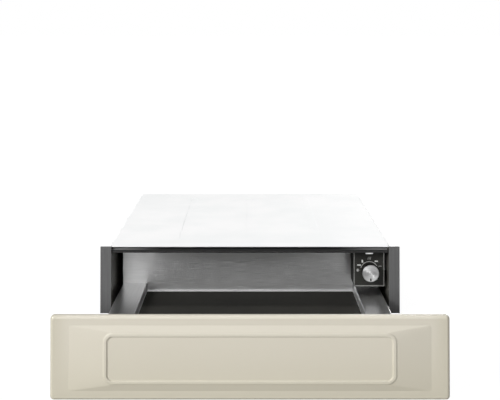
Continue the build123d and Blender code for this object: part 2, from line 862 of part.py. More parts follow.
def fan_case():
    """Scroll with its back plate and the posts for the motor; the partition closes its front."""
    wall = 1.0
    case = along_y(fan_outline(0), case_y, case_y + fan_case_depth)
    case -= along_y(fan_outline(wall), case_y - 1, case_y + fan_case_depth - wall)
    reach = fan_case_radius + 4
    rim = fan_outline(-4) - fan_outline(wall)
    rim &= patch(fan_x - reach, fan_x + reach, fan_case_low, fan_z + reach)
    case += along_y(rim, case_y, case_y + wall)
    for x in (-1, 1):
        for z in (-motor_below + 4.5, motor_window - 4):
            case += disc_y(fan_x + x * (motor_width / 2 - 4), fan_z + z, 3.0,
                           case_y + fan_case_depth - wall, motor_y)
    return case - disc_y(fan_x, fan_z, 9.0, case_y, case_y + fan_case_depth + 1)


def fan_impeller():
    """Back plate, curved blades, shroud ring and hub."""
    back = case_y + fan_case_depth - 4.5
    front = back - impeller_depth
    plate = disc_y(fan_x, fan_z, impeller_radius, back - 1.0, back)
    hub = disc_y(fan_x, fan_z, 6.0, back - 9.0, back)
    shroud = along_y(Pos(fan_x, fan_z) * (Circle(impeller_radius) - Circle(impeller_radius - 7)),
                     front, front + 0.8)
    wheel = plate + hub + shroud
    inner = impeller_radius - 13.0
    start = Vector(inner, 0)
    tip = Vector(impeller_radius * cos(0.36), impeller_radius * sin(0.36))
    blade = trace(RadiusArc(start, tip, impeller_radius * 0.62), 0.8)
    for number in range(blades):
        turned = Pos(fan_x, fan_z) * (Rot(0, 0, 360 * number / blades) * blade)
        wheel += along_y(turned, front, back - 0.5)
    disc = disc_y(fan_x, fan_z, impeller_radius, front - 1, back + 1)
    return (wheel & disc) - disc_y(fan_x, fan_z, motor_shaft + 0.02, back - 12, back + 1)


def fan_spindle():
    back = case_y + fan_case_depth - 4.5
    rotor = disc_y(fan_x, fan_z, rotor_radius, motor_y + 0.5, motor_y + motor_stack - 0.5)
    return disc_y(fan_x, fan_z, motor_shaft, back - 9.0, motor_y + motor_stack + 6) + rotor


def motor_stator():
    """Laminated stack round the rotor, with a straight limb above its window."""
    high = motor_window + motor_gap + motor_limb
    outline = patch(fan_x - motor_width / 2, fan_x + motor_width / 2, fan_z - motor_below,
                    fan_z + high, 3.0)
    window = patch(fan_x - motor_width / 2 + motor_limb, fan_x + motor_width / 2 - motor_limb,
                   fan_z + motor_window, fan_z + motor_window + motor_gap, 1.0)
    stack = along_y(outline - window, motor_y, motor_y + motor_stack)
    return stack - disc_y(fan_x, fan_z, rotor_radius + 0.5, motor_y - 1, motor_y + motor_stack + 1)


def motor_coil():
    """Bobbin with its winding round the upper limb of the stack."""
    low = fan_z + motor_window + motor_gap
    high = low + motor_limb
    half = motor_width / 2 - motor_limb - 3 * clear

    def block(start, end, build_up):
        outline = patch(fan_x + start, fan_x + end, low - build_up, high + build_up)
        box = along_y(outline, motor_y - build_up, motor_y + motor_stack + build_up)
        return fillet(box.edges().filter_by(Axis.X), build_up * 0.6)

    coil = block(-half, half, winding - 0.8)
    coil += block(-half, -half + 1.2, winding) + block(half - 1.2, half, winding)
    limb = patch(fan_x - half - 1, fan_x + half + 1, low - 0.1, high + 0.1)
    return coil - along_y(limb, motor_y - 0.1, motor_y + motor_stack + 0.1)


def bearing_bridge(y, reach):
    """Strap across the stack with the bearing bush at its middle."""
    strap = along_y(Pos(fan_x, fan_z) * SlotOverall(motor_width - 4, 10), y, y + 1.2)
    bush = disc_y(fan_x, fan_z, 5.0, min(y, y + reach), max(y + 1.2, y + reach))
    bore = disc_y(fan_x, fan_z, motor_shaft + 0.05, y - 6, y + 8)
    return strap + bush - bore


def bearing_bridges():
    return [bearing_bridge(motor_y - 1.2, -4.0), bearing_bridge(motor_y + motor_stack, 5.0)]


# ---- latches ----
latch_back = rear_y - 2.0
plunger_back = plunger_tip + plunger_length
latch_wall = 1.5
latch_outer = plunger_radius + 4.0


def latch_housings():
    """Moulded barrels, each with a square flange that the partition carries."""
    outline = patch(latch_x - latch_flange, latch_x + latch_flange, latch_z - latch_flange,
                    latch_z + latch_flange, 3.0)
    flange_plate = along_y(outline, case_y, case_y + 2)
    barrel = disc_y(latch_x, latch_z, latch_outer, case_y, latch_back)
    barrel = chamfer(barrel.edges().group_by(Axis.Y)[-1], 1.2)
    bore = disc_y(latch_x, latch_z, plunger_radius + clear, case_y - 1, latch_back - latch_wall)
    return pair(barrel + flange_plate - bore)


def latch_plunger():
    """Rod with a pocket for the magnet in front and for the spring behind."""
    rod = disc_y(latch_x, latch_z, plunger_radius, plunger_tip, plunger_back)
    rod = chamfer(rod.edges().group_by(Axis.Y)[0], 0.6)
    rod -= disc_y(latch_x, latch_z, 4.0, plunger_tip - 1, plunger_tip + 3)
    return rod - disc_y(latch_x, latch_z, 4.6, plunger_back - 10, plunger_back + 1)


def latch_magnet():
    return disc_y(latch_x, latch_z, 3.95, plunger_tip + 0.2, plunger_tip + 3)


def latch_spring():
    """Pressed spring between the plunger and the barrel's end, its wire bent in short steps."""
    start = plunger_back - 10 + clear + spring_wire
    end = latch_back - latch_wall - clear - spring_wire
    steps = 8 * spring_turns
    points = []
    for step in range(steps + 1):
        angle = 2 * pi * step / 8
        points.append((latch_x + spring_radius * cos(angle), start + (end - start) * step / steps,
                       latch_z + spring_radius * sin(angle)))
    path = Polyline(*points)
    ring = Plane(origin=path @ 0, z_dir=path % 0) * Rectangle(2 * spring_wire, 2 * spring_wire)
    return sweep(ring, path=path, transition=Transition.RIGHT)


# ---- wiring ----
gland_radius = 8.0


def cable_gland():
    """Screwed gland with a through bore, its hexagon outside and its nut inside the rear panel."""
    bore_start = rear_y - 8.0
    outside = chassis_depth + 6.0
    hexagon = along_y(Pos(gland_x, gland_z) * RegularPolygon(10.5, 6), chassis_depth, chassis_depth + 3)
    dome = disc_y(gland_x, gland_z, 9.2, chassis_depth + 3, outside)
    dome = chamfer(dome.edges().group_by(Axis.Y)[-1], 1.6)
    sleeve = disc_y(gland_x, gland_z, gland_radius, bore_start, chassis_depth)
    nut = along_y(Pos(gland_x, gland_z) * RegularPolygon(11.5, 6), rear_y - 4, rear_y)
    bore = disc_y(gland_x, gland_z, cable_radius, bore_start - 1, outside + 1)
    return hexagon + dome + sleeve + nut - bore


def terminal_block():
    """Three-way block on the base, with a screw well and a wire entry for each way."""
    width = terminal_width
    depth = 18.0
    height = 18.0
    x = gland_x - terminal_offset
    y = case_y + 12
    z = sheet
    block = along_z(patch(x, x + width, y, y + depth, 1.5), z, z + height)
    block -= along_x(patch(y - 1, y + 4, z + height - 5, z + height + 1), x - 1, x + width + 1)
    for number in range(3):
        way = x + width * (number + 0.5) / 3
        block -= along_z(Pos(way, y + depth * 0.62) * Circle(2.6), z + height - 6, z + height + 1)
        entry = patch(way - 2.2, way + 2.2, z + 4, z + 8.4)
        block -= along_y(entry, y - 1, y + 7) + along_y(entry, y + depth - 7, y + depth + 1)
    return block


both_sides("side_panel", side_panel())
both_sides("outer_rail", outer_rail())
both_sides("middle_rail", middle_out * middle_rail())
both_sides("inner_rail", drawer_out * inner_rail())
both_sides("latch_plunger", latch_plunger())
both_sides("latch_magnet", latch_magnet())
both_sides("latch_spring", latch_spring())
save_cage("outer_cage", outer_cage_x, bracket_face + 8.4, outer_row, outer_ball_x, outer_cage_out)
save_cage("inner_cage", inner_cage_x, bracket_face + 10.8, inner_row, inner_ball_x, inner_cage_out)

for piece in (base_pan, top_cover, panel_screws, rear_panel, partition, front_beam, slide_brackets,
              front_panel, front_backing, front_liner, front_brackets, front_screws, drawer_tray,
              tray_rear_wall, anti_slip_mat, strike_plates, control_housing, fascia_frame,
              control_fascia, indicator_lens, indicator_board, rotary_switch, switch_spindle,
              knob_body, knob_cap, knob_pointer, control_bracket, wire_duct, heating_element,
              element_supports, heat_reflector, temperature_probe, safety_cutout, fan_case,
              fan_impeller, fan_spindle, motor_stator, motor_coil, bearing_bridges, latch_housings,
              cable_gland, terminal_block):
    save(piece.__name__, piece())
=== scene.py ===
import bpy
import math
from mathutils import Matrix, Vector


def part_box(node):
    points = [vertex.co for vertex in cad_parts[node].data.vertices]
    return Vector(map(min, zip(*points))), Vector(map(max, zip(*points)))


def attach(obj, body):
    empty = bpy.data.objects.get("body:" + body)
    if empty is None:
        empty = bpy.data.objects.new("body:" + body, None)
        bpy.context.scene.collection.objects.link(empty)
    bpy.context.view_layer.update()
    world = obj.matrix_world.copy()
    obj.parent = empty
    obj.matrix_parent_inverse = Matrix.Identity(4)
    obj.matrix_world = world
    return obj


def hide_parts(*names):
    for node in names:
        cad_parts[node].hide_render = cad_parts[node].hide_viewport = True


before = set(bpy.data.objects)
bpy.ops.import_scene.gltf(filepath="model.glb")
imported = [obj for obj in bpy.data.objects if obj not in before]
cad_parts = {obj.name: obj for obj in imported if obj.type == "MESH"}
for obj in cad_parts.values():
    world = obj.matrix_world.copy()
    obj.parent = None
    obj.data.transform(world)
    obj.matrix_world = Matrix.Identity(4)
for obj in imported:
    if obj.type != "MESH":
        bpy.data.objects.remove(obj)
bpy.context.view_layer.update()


print("frame loaded:", len(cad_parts), "nodes")


# a socket that can be added and multiplied as a plain number
class Wire:
    def __init__(self, finish, socket):
        self.finish = finish
        self.socket = socket

    def maths(self, operation, *values):
        return self.finish.add("Math", {"operation": operation}, values)

    def __add__(self, other):
        return self.maths("ADD", self, other)

    def __sub__(self, other):
        return self.maths("SUBTRACT", self, other)

    def __rsub__(self, other):
        return self.maths("SUBTRACT", other, self)

    def __mul__(self, other):
        return self.maths("MULTIPLY", self, other)

    def __abs__(self):
        return self.maths("ABSOLUTE", self)

    # held between -limit and limit
    def clamped(self, limit):
        raised = self.maths("MAXIMUM", self, -limit)
        return raised.maths("MINIMUM", raised, limit)

    __radd__ = __add__
    __rmul__ = __mul__


# screen colour from 0 to 255 turned into light, by the curve of a standard screen
def shade(red, green, blue):
    light = []
    for part in (red, green, blue):
        part = part / 255
        light.append(part / 12.92 if part <= 0.04045 else ((part + 0.055) / 1.055) ** 2.4)
    return (*light, 1)


# one material or the sky, and the only place that makes shader nodes
class Finish:
    def __init__(self, name, owner=None):
        self.material = owner or bpy.data.materials.new(name)
        self.material.use_nodes = True
        self.tree = self.material.node_tree
        self.tree.nodes.clear()
        self.place = self.add("TexCoord", output="Object")

    def add(self, kind, settings=None, inputs=None, output=0):
        node = self.tree.nodes.new("ShaderNode" + kind)
        for key, value in (settings or {}).items():
            setattr(node, key, value)
        pairs = inputs.items() if isinstance(inputs, dict) else enumerate(inputs or ())
        for key, value in pairs:
            if isinstance(value, Wire):
                self.tree.links.new(value.socket, node.inputs[key])
            else:
                node.inputs[key].default_value = value
        return Wire(self, node.outputs[output]) if node.outputs else None

    def vector(self, operation, *values):
        return self.add("VectorMath", {"operation": operation}, values)

    def length(self, vector):
        return self.add("VectorMath", {"operation": "LENGTH"}, (vector,), "Value")

    def axes(self, vector):
        split = self.add("SeparateXYZ", inputs=(vector,))
        return [Wire(self, split.socket.node.outputs[axis]) for axis in range(3)]

    # perMetre is one number, or three where the grain is drawn out along an axis
    def noise(self, perMetre, detail=2, place=None):
        scale = perMetre if isinstance(perMetre, tuple) else (perMetre,) * 3
        point = self.vector("MULTIPLY", place or self.place, scale)
        return self.add("TexNoise", inputs={"Vector": point, "Scale": 1, "Detail": detail})

    # 0 below low and 1 above high, with a smooth step between them
    def ramp(self, value, low, high):
        settings = {"interpolation_type": "SMOOTHSTEP"}
        return self.add("MapRange", settings, {0: value, 1: low, 2: high, 3: 0, 4: 1})

    # sockets 6, 7 and 2 are the two colours and the result of a Mix node set to colour
    def blend(self, factor, first, second):
        return self.add("Mix", {"data_type": "RGBA"}, {0: factor, 6: first, 7: second}, 2)

    def darkToLight(self, tone, look):
        return self.blend(tone, shade(*look["dark"]), shade(*look["light"]))

    def bump(self, height, strength, distance, normal=None):
        inputs = {"Strength": strength, "Distance": distance, "Height": height}
        if normal:
            inputs["Normal"] = normal
        return self.add("Bump", inputs=inputs)

    # leans the normal to and fro along one direction, as fine brushing does
    def brushed(self, direction, amount, grain):
        normal = self.add("NewGeometry", output="Normal")
        inputs = {0: direction, "Scale": (grain - 0.5) * amount}
        lean = self.add("VectorMath", {"operation": "SCALE"}, inputs)
        return self.vector("NORMALIZE", self.vector("ADD", normal, lean))

    def surface(self, **sockets):
        named = {key.replace("_", " "): value for key, value in sockets.items()}
        shader = self.add("BsdfPrincipled", inputs=named)
        self.add("OutputMaterial", inputs={"Surface": shader})
        return self.material


# the enamel's colours for the top, the bottom and the ends are painted shade, lighter where the light falls
enamelLook = {
    "upper": (213, 207, 192), "lower": (205, 199, 181), "ends": (203, 197, 179), "endStart": 0.268,
    "cloudPerMetre": (9, 9, 14), "cloudDrift": 0.015,
    "roughness": 0.36, "coat": 0.5, "coatRoughness": 0.16,
    "peelPerMetre": 260, "peel": 0.025, "peelDepth": 0.0002, "peelRoughness": 0.06,
    "pressLean": 0.11, "pressGain": 1.6, "pressUpShare": 0.35,
}


# the shallow slopes of the pressing lean a little further, so that soft light still draws them
def pressedNormal(finish):
    normal = finish.add("NewGeometry", output="Normal")
    x, y, z = finish.axes(normal)
    across = (x * enamelLook["pressGain"]).clamped(enamelLook["pressLean"])
    upward = (z * enamelLook["pressGain"]).clamped(enamelLook["pressLean"])
    lean = finish.add("CombineXYZ", inputs=(across, 0, upward * enamelLook["pressUpShare"]))
    return finish.vector("NORMALIZE", finish.vector("ADD", normal, lean))


# cream enamel with painted shade, a little darker below and at the ends, with a fine orange peel under a
# clear coat
def creamEnamel():
    finish = Finish("creamEnamel")
    low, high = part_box("front_panel")
    x, y, z = finish.axes(finish.place)
    cloud = finish.noise(enamelLook["cloudPerMetre"], detail=3)
    # painted shade: lighter towards the top, darker towards the bottom and towards both ends
    upper = finish.ramp(z + cloud * enamelLook["cloudDrift"], low.z, high.z)
    ends = finish.ramp(abs(x), enamelLook["endStart"], high.x)
    colour = finish.blend(upper, shade(*enamelLook["lower"]), shade(*enamelLook["upper"]))
    colour = finish.blend(ends, colour, shade(*enamelLook["ends"]))
    peel = finish.noise(enamelLook["peelPerMetre"])
    roughness = enamelLook["roughness"] + peel * enamelLook["peelRoughness"]
    normal = finish.bump(peel, enamelLook["peel"], enamelLook["peelDepth"], pressedNormal(finish))
    return finish.surface(Base_Color=colour, Roughness=roughness, Coat_Weight=enamelLook["coat"],
                          Coat_Roughness=enamelLook["coatRoughness"], Normal=normal)


brushLook = {
    "light": (224, 224, 224), "dark": (206, 206, 206), "toneRange": (0.45, 0.95),
    "grainShare": 0.3, "streakShare": 0.6, "cloudShare": 0.5,
    "finePerMetre": 9000, "alongPerMetre": 30, "cloudPerMetre": (7, 7, 18),
    "streakPerMetre": 1400, "streakAlongPerMetre": 15,
    "roughness": 0.38, "ledgeRoughness": 0.26, "streakRoughness": 0.08,
    "lean": 0.8, "ledgeLean": 0.5, "ledgeSlope": (0.6, 0.8),
}


# stainless sheet; the grain runs along X on upright faces and along Y on the ledges
def brushedSteel():
    finish = Finish("brushedSteel")
    fine = brushLook["finePerMetre"]
    along = brushLook["alongPerMetre"]
    streak = brushLook["streakPerMetre"]
    streakAlong = brushLook["streakAlongPerMetre"]
    x, y, z = finish.axes(finish.add("NewGeometry", output="Normal"))
    ledge = finish.ramp(abs(z), *brushLook["ledgeSlope"])
    wall = 1 - ledge
    ledgeGrain = finish.noise((fine, along, fine), detail=1)
    wallGrain = finish.noise((along, fine, fine), detail=1)
    grain = ledgeGrain * ledge + wallGrain * wall
    ledgeStreaks = finish.noise((streak, streakAlong, streak), detail=3)
    wallStreaks = finish.noise((streakAlong, streak, streak), detail=3)
    streaks = ledgeStreaks * ledge + wallStreaks * wall
    cloud = finish.noise(brushLook["cloudPerMetre"], detail=3) * brushLook["cloudShare"]
    drift = streaks * brushLook["streakShare"] + grain * brushLook["grainShare"] + cloud
    colour = finish.darkToLight(finish.ramp(drift, *brushLook["toneRange"]), brushLook)
    gloss = ledge * (brushLook["roughness"] - brushLook["ledgeRoughness"])
    roughness = brushLook["roughness"] - gloss + streaks * brushLook["streakRoughness"]
    lean = finish.add("CombineXYZ", inputs=(ledge * brushLook["ledgeLean"], 0, wall * brushLook["lean"]))
    return finish.surface(Base_Color=colour, Metallic=1, Roughness=roughness,
                          Normal=finish.brushed(lean, 1, grain))


postLook = {
    "light": (119, 119, 119), "dark": (105, 105, 105), "foot": (58, 58, 58), "footHeight": 0.06,
    "zinc": (128, 130, 131), "zincDark": (104, 106, 107), "zincPerMetre": 60,
    "inside": (118, 117, 110), "insideDark": (92, 91, 86), "toneRange": (0.35, 0.8),
    "grainShare": 0.4, "grainPerMetre": (2200, 2200, 14), "lean": 0.35,
    "streakShare": 0.7, "streakPerMetre": (500, 500, 5),
    "roughness": 0.36, "streakRoughness": 0.15, "metallic": 0.5,
    "postBack": (0.0003, 0.0006),        # y at which the posts end and the panels begin
    "zincEdge": (0.0016, 0.0013),        # distance inside the cover's side at which the zinc begins
}


# side panels: satin posts in front with painted shade at their feet, darkened sheet inside and plain zinc
# outside
def sidePanelSteel():
    finish = Finish("sidePanelSteel")
    x, y, z = finish.axes(finish.place)
    grain = finish.noise(postLook["grainPerMetre"], detail=1)
    streaks = finish.noise(postLook["streakPerMetre"], detail=3)
    tone = finish.ramp(streaks * postLook["streakShare"] + grain * postLook["grainShare"],
                       *postLook["toneRange"])
    # painted shade: the posts darken towards the floor, where the drawer front shades them
    foot = 1 - finish.ramp(z, -postLook["footHeight"], postLook["footHeight"])
    post = finish.blend(foot, finish.darkToLight(tone, postLook), shade(*postLook["foot"]))
    spangle = finish.noise(postLook["zincPerMetre"], detail=3)
    zinc = finish.blend(spangle, shade(*postLook["zincDark"]), shade(*postLook["zinc"]))
    inside = finish.blend(tone, shade(*postLook["insideDark"]), shade(*postLook["inside"]))
    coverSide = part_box("top_cover")[1].x
    outer = finish.ramp(abs(x), *(coverSide - inset for inset in postLook["zincEdge"]))
    behind = finish.ramp(y, *postLook["postBack"])
    colour = finish.blend(behind, post, finish.blend(outer, inside, zinc))
    roughness = postLook["roughness"] + streaks * postLook["streakRoughness"]
    return finish.surface(Base_Color=colour, Metallic=postLook["metallic"], Roughness=roughness,
                          Normal=finish.brushed((1, 0, 0), postLook["lean"], grain))


# plain metals share one recipe: a tone that drifts, fine grain and a little unevenness
metalGrain = {
    "cellShare": 0.45, "driftShare": 0.6, "grainShare": 0.2, "toneRange": (0.25, 0.95),
    "driftPerMetre": 14, "grainPerMetre": 900, "metallic": 0.9,
    "cellRoughness": 0.08, "grainRoughness": 0.06, "bump": 0.12, "bumpDepth": 0.00008,
}
metalLooks = {
    "galvanisedSteel": {"light": (168, 171, 173), "dark": (136, 139, 142), "roughness": 0.42, "spangle": 70},
    "slideSteel": {"light": (196, 199, 202), "dark": (172, 175, 178), "roughness": 0.3, "spangle": 25},
    "cageSteel": {"light": (176, 172, 160), "dark": (146, 143, 134), "roughness": 0.38, "spangle": 40},
    "screwSteel": {"light": (204, 204, 202), "dark": (170, 170, 168), "roughness": 0.26, "spangle": 200},
    "elementSteel": {"light": (108, 98, 86), "dark": (70, 62, 58), "roughness": 0.5, "spangle": 30},
    "fanSteel": {"light": (184, 186, 188), "dark": (158, 160, 163), "roughness": 0.36, "spangle": 45},
    "lamination": {"light": (92, 93, 97), "dark": (62, 63, 67), "roughness": 0.55, "spangle": 90},
    "magnet": {"light": (82, 82, 84), "dark": (52, 52, 54), "roughness": 0.4, "spangle": 160},
    "springSteel": {"light": (178, 178, 180), "dark": (142, 142, 146), "roughness": 0.25, "spangle": 120},
    "frameMetal": {"light": (168, 168, 165), "dark": (140, 140, 137), "roughness": 0.36, "spangle": 150},
}


def plainMetal(name):
    look = metalLooks[name]
    finish = Finish(name)
    spangle = {"Vector": finish.place, "Scale": look["spangle"]}
    cell = finish.axes(finish.add("TexVoronoi", inputs=spangle, output="Color"))[0]
    drift = finish.noise(metalGrain["driftPerMetre"], detail=3)
    grain = finish.noise(metalGrain["grainPerMetre"])
    shares = cell * metalGrain["cellShare"] + drift * metalGrain["driftShare"]
    tone = finish.ramp(shares + grain * metalGrain["grainShare"], *metalGrain["toneRange"])
    roughness = look["roughness"] + cell * metalGrain["cellRoughness"] + grain * metalGrain["grainRoughness"]
    return finish.surface(Base_Color=finish.darkToLight(tone, look), Metallic=metalGrain["metallic"],
                          Roughness=roughness,
                          Normal=finish.bump(grain, metalGrain["bump"], metalGrain["bumpDepth"]))


# plastics, lacquers and printing ink share another: moulding grain and a slow drift
plasticGrain = {
    "grainShare": 0.7, "driftShare": 0.3, "toneRange": (0.32, 0.68), "driftPerMetre": 24,
    "driftRoughness": 0.1, "grainDepth": 0.0002, "specular": 0.5,
}
plasticLooks = {
    "blackPaint": {"light": (29, 29, 29), "dark": (20, 20, 20), "roughness": 0.3,
                   "grainPerMetre": 500, "grain": 0.03},
    "blackPlastic": {"light": (24, 24, 22), "dark": (15, 15, 14), "roughness": 0.6, "specular": 0.1,
                     "grainPerMetre": 1400, "grain": 0.12},
    "fasciaPlastic": {"light": (54, 54, 50), "dark": (20, 20, 18), "roughness": 0.5, "specular": 0.3,
                      "grainPerMetre": 1100, "grain": 0.16},
    "matRubber": {"light": (42, 41, 37), "dark": (26, 25, 22), "roughness": 0.85, "specular": 0.25,
                  "grainPerMetre": 800, "grain": 0.3},
    "boardLacquer": {"light": (38, 92, 54), "dark": (24, 66, 38), "roughness": 0.35,
                     "grainPerMetre": 700, "grain": 0.05},
    "coilTape": {"light": (176, 128, 44), "dark": (140, 96, 30), "roughness": 0.45,
                 "grainPerMetre": 600, "grain": 0.2},
    "latchPlastic": {"light": (196, 196, 192), "dark": (178, 178, 174), "roughness": 0.48,
                     "grainPerMetre": 900, "grain": 0.08},
    "bakelite": {"light": (52, 44, 40), "dark": (34, 28, 25), "roughness": 0.4,
                 "grainPerMetre": 900, "grain": 0.08},
    "whitePlastic": {"light": (226, 226, 221), "dark": (208, 208, 202), "roughness": 0.45,
                     "grainPerMetre": 900, "grain": 0.06},
    "glandPlastic": {"light": (58, 58, 58), "dark": (42, 42, 42), "roughness": 0.5,
                     "grainPerMetre": 1200, "grain": 0.12},
    "markWhite": {"light": (240, 240, 238), "dark": (222, 222, 220), "roughness": 0.55,
                  "grainPerMetre": 1500, "grain": 0.05},
    "markGrey": {"light": (190, 190, 188), "dark": (166, 166, 164), "roughness": 0.55,
                 "grainPerMetre": 1500, "grain": 0.05},
}
# colour and extent of the beam's painted highlight
beamLook = {"light": (112, 112, 112), "fade": (0.165, 0.255), "slopeHeight": 0.0062, "slopeBlend": 0.0003}


# painted highlight: the ends of the beam's sloping face are painted lighter, where they would catch the light
def beamPaint(finish, colour):
    x, y, z = finish.axes(finish.place)
    ends = finish.ramp(abs(x), *beamLook["fade"])
    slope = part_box("front_beam")[1].z - beamLook["slopeHeight"]
    upper = finish.ramp(z, slope - beamLook["slopeBlend"], slope + beamLook["slopeBlend"])
    return finish.blend(ends * upper, colour, shade(*beamLook["light"]))


def mouldedPlastic(name):
    look = plasticLooks[name]
    finish = Finish(name)
    grain = finish.noise(look["grainPerMetre"], detail=3)
    drift = finish.noise(plasticGrain["driftPerMetre"])
    uneven = grain * plasticGrain["grainShare"] + drift * plasticGrain["driftShare"]
    colour = finish.darkToLight(finish.ramp(uneven, *plasticGrain["toneRange"]), look)
    # the beam's black paint carries the painted highlight at the ends of its sloping face
    if name == "blackPaint":
        colour = beamPaint(finish, colour)
    return finish.surface(Base_Color=colour,
                          Roughness=look["roughness"] + drift * plasticGrain["driftRoughness"],
                          Specular_IOR_Level=look.get("specular", plasticGrain["specular"]),
                          Normal=finish.bump(grain, look["grain"], plasticGrain["grainDepth"]))


lensLook = {"light": (252, 252, 250), "dark": (226, 228, 230), "glow": 0.5, "roughness": 0.25,
            "middleRoughness": 0.05}


# the lamp behind the lens lights its middle most; its glow is also painted light, set high to make up for the
# beam's shade over the lens
def lensPlastic():
    finish = Finish("lensPlastic")
    low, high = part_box("indicator_lens")
    x = finish.axes(finish.place)[0] - (low.x + high.x) / 2
    middle = 1 - finish.ramp(abs(x), 0, (high.x - low.x) / 2)
    colour = finish.darkToLight(middle, lensLook)
    return finish.surface(Base_Color=colour, Emission_Color=colour, Emission_Strength=lensLook["glow"],
                          Roughness=lensLook["roughness"] + middle * lensLook["middleRoughness"])


spunLook = {
    "light": (218, 218, 218), "dark": (186, 186, 186), "toneRange": (0.35, 0.65),
    "ringShare": 0.6, "ringsPerMetre": 2600, "bandShare": 0.4, "bandsPerMetre": 420,
    "roughness": 0.33, "bandRoughness": 0.05, "lean": 5.5,
}


# turned aluminium: rings round the knob's axis lean the normal towards and away from it
def spunAluminium():
    finish = Finish("spunAluminium")
    centre = sum(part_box("knob_cap"), Vector()) / 2
    out = finish.vector("MULTIPLY", finish.vector("SUBTRACT", finish.place, tuple(centre)), (1, 0, 1))
    radius = finish.add("CombineXYZ", inputs=(finish.length(out), 0, 0))
    rings = finish.noise(spunLook["ringsPerMetre"], place=radius)
    bands = finish.noise(spunLook["bandsPerMetre"], place=radius)
    tone = finish.ramp(rings * spunLook["ringShare"] + bands * spunLook["bandShare"], *spunLook["toneRange"])
    facing = {"vector_type": "NORMAL", "convert_from": "OBJECT", "convert_to": "WORLD"}
    direction = finish.add("VectorTransform", facing, (finish.vector("NORMALIZE", out),))
    return finish.surface(Base_Color=finish.darkToLight(tone, spunLook), Metallic=1,
                          Roughness=spunLook["roughness"] + bands * spunLook["bandRoughness"],
                          Normal=finish.brushed(direction, spunLook["lean"], rings))


coverLook = {
    "light": (252, 252, 252), "dark": (247, 248, 248), "toneRange": (0.35, 0.65), "driftPerMetre": 9,
    "roughness": 0.6, "driftRoughness": 0.06, "specular": 0.05,
    "grain": 0.05, "grainPerMetre": 700, "grainDepth": 0.00006,
}


# painted reflection: the chassis's galvanised cover is painted near white, standing in for the bright glare
# its zinc shows from the front
def coverSheet():
    finish = Finish("coverSheet")
    drift = finish.noise(coverLook["driftPerMetre"], detail=3)
    grain = finish.noise(coverLook["grainPerMetre"])
    colour = finish.darkToLight(finish.ramp(drift, *coverLook["toneRange"]), coverLook)
    return finish.surface(Base_Color=colour,
                          Roughness=coverLook["roughness"] + drift * coverLook["driftRoughness"],
                          Specular_IOR_Level=coverLook["specular"],
                          Normal=finish.bump(grain, coverLook["grain"], coverLook["grainDepth"]))


finishes = {name: plainMetal(name) for name in metalLooks}
finishes.update({name: mouldedPlastic(name) for name in plasticLooks})
for make in (creamEnamel, brushedSteel, sidePanelSteel, lensPlastic, spunAluminium, coverSheet):
    finishes[make.__name__] = make()
print("finishes made:", len(finishes))

# record slot of a node and the finish that dresses it
slotFinishes = {
    "cream_enamel": "creamEnamel", "galvanised_steel": "galvanisedSteel", "dark_steel": "sidePanelSteel",
    "stainless_steel": "brushedSteel", "slide_steel": "slideSteel", "cage_steel": "cageSteel",
    "black_paint": "blackPaint", "black_plastic": "blackPlastic", "fascia_plastic": "fasciaPlastic",
    "frame_metal": "frameMetal", "lens_plastic": "lensPlastic", "board": "boardLacquer",
    "knob_aluminium": "spunAluminium", "mat_rubber": "matRubber", "screw_steel": "screwSteel",
    "element_steel": "elementSteel", "fan_steel": "fanSteel", "lamination": "lamination",
    "coil_tape": "coilTape", "latch_plastic": "latchPlastic", "magnet": "magnet",
    "spring_steel": "springSteel", "bakelite": "bakelite", "white_plastic": "whitePlastic",
    "gland_plastic": "glandPlastic",
}
for name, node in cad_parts.items():
    for slot in node.material_slots:
        usual = slotFinishes[slot.material.name.split(".")[0]]
        # the top cover takes the near-white painted reflection instead of its galvanised finish
        slot.material = finishes["coverSheet" if name == "top_cover" else usual]
print("nodes dressed")


def startPiece(name, addPrimitive, **values):
    bpy.ops.object.select_all(action="DESELECT")
    addPrimitive(**values)
    piece = bpy.context.object
    piece.name = name
    return piece


# puts the place into the mesh, then gives the piece its finish, slot and body
def seatPiece(piece, finish, body):
    bpy.ops.object.select_all(action="DESELECT")
    piece.select_set(True)
    bpy.context.view_layer.objects.active = piece
    bpy.ops.object.transform_apply(location=True, rotation=True, scale=True)
    piece.data.materials.clear()
    piece.data.materials.append(finishes[finish])
    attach(piece, body)


def joinPieces(name, pieces):
    bpy.ops.object.select_all(action="DESELECT")
    for piece in pieces:
        piece.select_set(True)
    bpy.context.view_layer.objects.active = pieces[0]
    bpy.ops.object.join()
    pieces[0].name = name
    return pieces[0]


def editPiece(piece, work):
    bpy.context.view_layer.objects.active = piece
    bpy.ops.object.mode_set(mode="EDIT")
    work()
    bpy.ops.object.mode_set(mode="OBJECT")


# selects the edges or faces that a test picks, on a piece in edit mode
def selectParts(piece, kind, picked):
    bpy.ops.mesh.select_all(action="DESELECT")
    bpy.ops.object.mode_set(mode="OBJECT")
    for part in piece.data.edges if kind == "EDGE" else piece.data.polygons:
        part.select = picked(part)
    bpy.ops.object.mode_set(mode="EDIT")
    bpy.ops.mesh.select_mode(type=kind)


